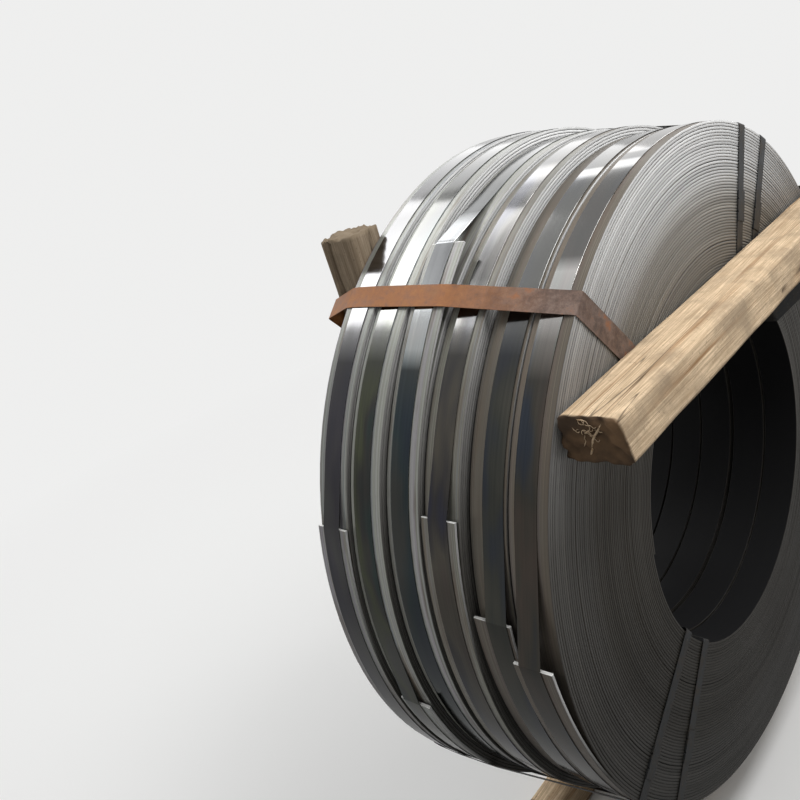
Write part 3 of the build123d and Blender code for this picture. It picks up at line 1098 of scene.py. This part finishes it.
    def weathered(self, points: np.ndarray, low: np.ndarray, high: np.ndarray,
                  rng: np.random.Generator) -> tuple[np.ndarray, np.ndarray, np.ndarray]:
        """Moves the skin inwards: worn corners, an uneven skin, cracks and torn ends.

        Args:
            points: Points of the skin.
            low: Lowest corner of the box.
            high: Highest corner of the box.
            rng: Source of the random pattern.

        Returns:
            The moved points, how deep in a crack or tear each one lies, and whether it is on a torn end,
            both from 0 to 1.
        """
        size = high - low
        centre = (low + high) / 2
        sides = [k for k in range(3) if k != self.axis]
        along = points[:, self.axis]
        depth = np.zeros(len(points))
        hollow = np.zeros(len(points))
        local = (points - centre) / (size / 2)
        on_end = np.abs(local[:, self.axis]) > 0.9999
        girth = np.arctan2(local[:, sides[1]], local[:, sides[0]])
        for _ in range(self.waves):
            wave = rng.uniform(8, 60)
            turns = rng.integers(1, 14)
            share = rng.uniform(0.05, 0.2)
            depth += share * (1 + np.sin(along * wave + girth * turns + rng.uniform(0, PHASE_RANGE)))
        depth *= self.skin / depth.max()
        for _ in range(self.cracks):
            middle = rng.uniform(along.min(), along.max())
            reach = rng.uniform(0.06, 0.2)
            bearing = rng.uniform(-math.pi, math.pi)
            drift = rng.uniform(-0.5, 0.5)
            off = np.angle(np.exp(1j * (girth - bearing - drift * (along - middle) / 0.2)))
            width = 0.05 * np.clip(1 - np.abs(along - middle) / reach, 0, 1)
            inside = np.clip(1 - np.abs(off) / np.maximum(width, 1e-6), 0, 1) * (~on_end)
            depth += inside * self.crack_depth
            hollow = np.maximum(hollow, inside)
        if self.groove is not None:
            off = np.angle(np.exp(1j * (girth - self.groove - 0.05 * np.sin(along * 40))))
            inside = np.clip(1 - np.abs(off) / self.groove_reach, 0, 1) * (~on_end)
            depth += inside * self.groove_depth
            hollow = np.maximum(hollow, np.clip(inside * 1.6 - 0.5, 0, 0.85))
        corner = np.abs(local[:, sides[0]]) * np.abs(local[:, sides[1]])
        wear = rng.uniform(0.5, 1.0, 4)[(local[:, sides[0]] > 0) * 2 + (local[:, sides[1]] > 0)]
        depth += np.clip((corner - 0.78) / 0.22, 0, 1)**2 * wear * self.corner_wear
        moved = points.copy()
        for k in sides:
            share = np.abs(local[:, k])**3
            moved[:, k] -= np.sign(local[:, k]) * share * np.minimum(depth, size[k] * 0.2)
        ragged = np.zeros(len(points))
        for _ in range(self.bumps):
            direction = rng.uniform(-1, 1, 2) * rng.uniform(60, 700)
            share = rng.uniform(0.2, 1.0)
            ragged += share * (1 + np.sin(points[:, sides] @ direction + rng.uniform(0, PHASE_RANGE)))
        ragged = (ragged - ragged.min()) / (ragged.max() - ragged.min())
        pit = np.clip(ragged**1.5, 0, 1)
        moved[:, self.axis] -= np.sign(local[:, self.axis]) * on_end * pit * self.tear
        hollow = np.maximum(hollow, on_end * np.clip(pit * 1.3 - 0.5, 0, 0.7))
        if self.slant:
            rise = (moved[:, 2] - low[2]) / size[2]
            moved[:, 0] -= rise * self.slant * (moved[:, 0] - low[0]) / size[0]
        return moved, hollow, on_end.astype(float)


# The pack

STRAP_TINTS = (
    ((0.044, 0.045, 0.056), (0.058, 0.056, 0.064), (0.075, 0.076, 0.074)),
    ((0.036, 0.05, 0.048), (0.048, 0.048, 0.046), (0.07, 0.077, 0.05), (0.06, 0.062, 0.056)),
    ((0.032, 0.04, 0.05), (0.036, 0.048, 0.052), (0.056, 0.058, 0.055)),
    ((0.042, 0.045, 0.07), (0.055, 0.053, 0.055), (0.09, 0.083, 0.07), (0.08, 0.068, 0.062)),
    ((0.038, 0.045, 0.064), (0.058, 0.06, 0.054), (0.08, 0.077, 0.066)),
    ((0.04, 0.047, 0.06), (0.06, 0.057, 0.05), (0.078, 0.065, 0.056), (0.058, 0.064, 0.054)),
)

# Painted highlights on the straps: height above the axis, with the factor that brightens the strap's colour
# there
PLAIN_PAINTED_HIGHLIGHTS = ((0.2, 0.5), (0.335, 0.9), (0.36, 2.9), (0.42, 2.9), (0.465, 1.5))
STRAP_PAINTED_HIGHLIGHTS = {
    3: ((0.2, 0.5), (0.325, 0.9), (0.345, 6.0), (0.388, 7.5), (0.4, 1.0), (0.4405, 0.85), (0.4425, 8.5),
        (0.452, 7.5), (0.459, 1.9), (0.48, 1.6)),
    4: ((0.2, 0.5), (0.335, 0.9), (0.36, 2.9), (0.385, 2.9), (0.4, 1.7), (0.455, 1.8), (0.466, 6.5),
        (0.479, 6.5), (0.483, 2.0)),
    5: ((0.2, 0.5), (0.33, 0.8), (0.35, 1.6), (0.39, 2.6), (0.448, 2.8), (0.463, 2.4), (0.4655, 8.0),
        (0.468, 8.0), (0.4695, 2.0)),
    6: ((0.2, 0.5), (0.31, 0.8), (0.342, 2.6), (0.36, 5.5), (0.397, 8.0), (0.408, 2.4), (0.4665, 2.1),
        (0.4675, 7.0), (0.4705, 7.0), (0.4715, 1.8), (0.4745, 1.8), (0.4755, 6.0), (0.477, 6.0)),
}


@dataclass
class CoilPack:
    """The whole pack: coils, straps, seals and timbers."""

    strip_seed_step: float = 11.0
    strap_seed_step: float = 5.0

    def coils(self) -> list[Coil]:
        """The six coils, from left to right."""
        # Turns, tip angle, sprung span, standoff, strap shift, face colour, stained share and loose turns
        rows = (
            (65, 17.5, 28.0, 2.0, 0.0, (0.26, 0.26, 0.263), 0.2, (17, 44)),
            (64, -11.7, 30.0, 2.5, -5.0, (0.3, 0.3, 0.3), 0.12, ()),
            (61, 59.7, 30.0, 14.0, -4.0, (0.29, 0.287, 0.282), 0.15, ()),
            (60, 21.1, 26.0, 4.0, 0.0, (0.2, 0.192, 0.182), 0.3, ()),
            (57, 7.8, 30.0, 8.0, 7.0, (0.14, 0.13, 0.122), 0.65, ()),
            (57, 3.6, 32.0, 18.5, -3.0, (0.13, 0.118, 0.109), 0.75, (17, 44)),
        )
        made = []
        for number, (turns, tip, span, standoff, shift, face, stained, loose) in enumerate(rows, 1):
            strip = StripSteel(f"strip_finish_{number}", face, stained, number * self.strip_seed_step)
            strap = StrapSteel(f"strap_finish_{number}", STRAP_TINTS[number - 1],
                               STRAP_PAINTED_HIGHLIGHTS.get(number, PLAIN_PAINTED_HIGHLIGHTS), number * self.strap_seed_step)
            made.append(Coil(number, turns, tip, span, standoff * MM, shift * MM, strip, strap, loose))
        return made

    def straps(self) -> list[BundleStrap]:
        """The straps through the bore."""
        wide, narrow = 30 * MM, 19 * MM
        dark_rows = (
            ("upper_strap_1", 112.5, narrow), ("upper_strap_2", 122.0, narrow),
            ("lower_strap_1", -33.0, narrow), ("lower_strap_2", -47.0, narrow), ("rear_strap", 146.0, wide))
        return [BundleStrap("rusty_strap", 51.0, wide, "rusty_steel", RustySteel("rust_finish"))] + [
            BundleStrap(*row, "dark_strap_steel", WaxedSteel("waxed_finish")) for row in dark_rows]

    def timbers(self) -> list[Timber]:
        """The timbers on the ends and under the pack."""
        level = RoughTimber("level_timber_finish", Grain.ALONG_Y)
        upright = RoughTimber(
            "upright_timber_finish", Grain.ALONG_Z, pale=(0.27, 0.215, 0.155), brown=(0.17, 0.125, 0.085),
            stain=(0.13, 0.1, 0.07), end=(0.22, 0.17, 0.115), shift=1.7)
        return [
            Timber("spacer_timber", 1, level, 11, tear=7 * MM, slant=11 * MM, fibres=16),
            Timber("corner_timber", 2, upright, 12, tear=11 * MM, groove=-1.95),
            Timber("skid_left", 1, level, 13),
            Timber("skid_right", 1, level, 14),
        ]

    def dress_seals(self) -> None:
        """Gives the CAD seals the finishes of their straps, those of the coils' own straps a brighter one."""
        bright, waxed, rusty = SealSteel("seal_finish"), WaxedSteel("waxed_finish"), RustySteel("rust_finish")
        for name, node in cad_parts.items():
            if "seal" in name:
                finish = rusty if name.startswith("rusty") else bright if name.startswith("coil") else waxed
                node.data.materials.clear()
                node.data.materials.append(finish.material())
                log.info("%s: CAD mesh dressed", name)

    def build(self) -> None:
        """Builds every piece."""
        for piece in [*self.coils(), *self.straps(), *self.timbers()]:
            piece.build()
        self.dress_seals()


@dataclass
class Studio:
    """Floor, lamps, world and camera."""

    floor_level: float = CAD_BOX[0][2]
    floor_reach: float = 14.0
    eye: Point = (0.6436, -1.0256, 0.6532)
    forward: Point = (-0.690, 0.628, -0.360)
    right: Point = (0.722, 0.632, -0.281)
    lens: float = 37.64
    world_light: float = 0.28

    def build(self) -> None:
        """Builds the studio."""
        self.lay_floor()
        self.light()
        self.place_camera()
        bpy.context.scene.view_settings.view_transform = "Standard"

    def lay_floor(self) -> None:
        """Lays the floor."""
        mesh = bpy.data.meshes.new("floor")
        reach, level = self.floor_reach, self.floor_level
        mesh.from_pydata([(-reach, -reach, level), (reach, -reach, level), (reach, reach, level),
                          (-reach, reach, level)], [], [(0, 1, 2, 3)])
        mesh.materials.append(PaleFloor("floor_finish").material())
        add_object("floor", mesh)

    def light(self) -> None:
        """Hangs the soft lamps and sets the world."""
        self.lamp("left_lamp", (-3.16, 0.22, 3.18), (0.0, -0.2, 0.4), (3.2, 1.47), 84)
        self.lamp("back_lamp", (-3.2, 3.2, 2.35), (0.0, 0.0, 0.4), (2.8, 2.2), 28)
        self.lamp("front_lamp", (-0.4, -3.0, 2.8), (0.0, 0.0, 0.0), (1.8, 1.4), 26)
        self.lamp("end_lamp", (1.3, 2.5, 1.6), (0.16, 0.0, 0.4), (1.6, 1.2), 26)
        self.lamp("over_lamp", (0.6, 0.0, 1.25), (0.16, 0.0, 0.4), (0.7, 0.5), 12)
        world = bpy.data.worlds.new("studio")
        bpy.context.scene.world = world
        world.use_nodes = True
        world.node_tree.nodes.clear()
        graph = Graph(world.node_tree)
        light = graph.node("ShaderNodeBackground", {
            "Color": (*PaleFloor.far, 1.0),
            "Strength": graph.remap(seen_ray(graph), 0.0, 1.0, self.world_light, 1.0)})
        graph.node("ShaderNodeOutputWorld", {"Surface": light.outputs[0]})

    @staticmethod
    def lamp(name: str, place: Point, aim: Point, size: tuple[float, float], watts: float) -> None:
        """Hangs an area lamp at a place, aimed at a point, with its width, height and power."""
        data = bpy.data.lights.new(name, "AREA")
        data.shape = "RECTANGLE"
        data.size, data.size_y = size
        data.energy = watts
        lamp = add_object(name, data)
        lamp.location = place
        lamp.rotation_euler = (Vector(aim) - Vector(place)).to_track_quat("-Z", "Y").to_euler()

    def place_camera(self) -> None:
        """Places the camera at the photograph's viewing angle."""
        data = bpy.data.cameras.new("camera")
        data.lens = self.lens
        back = -Vector(self.forward).normalized()
        right = Vector(self.right)
        right = (right - back * right.dot(back)).normalized()
        up = back.cross(right)
        camera = add_object("camera", data)
        camera.matrix_world = Matrix.Translation(self.eye) @ Matrix((right, up, back)).transposed().to_4x4()
        bpy.context.scene.camera = camera


def main() -> None:
    """Builds the pack and the studio."""
    logging.basicConfig(level=logging.INFO, format="%(name)s %(message)s")
    CoilPack().build()
    Studio().build()


if __name__ == "__main__":
    main()
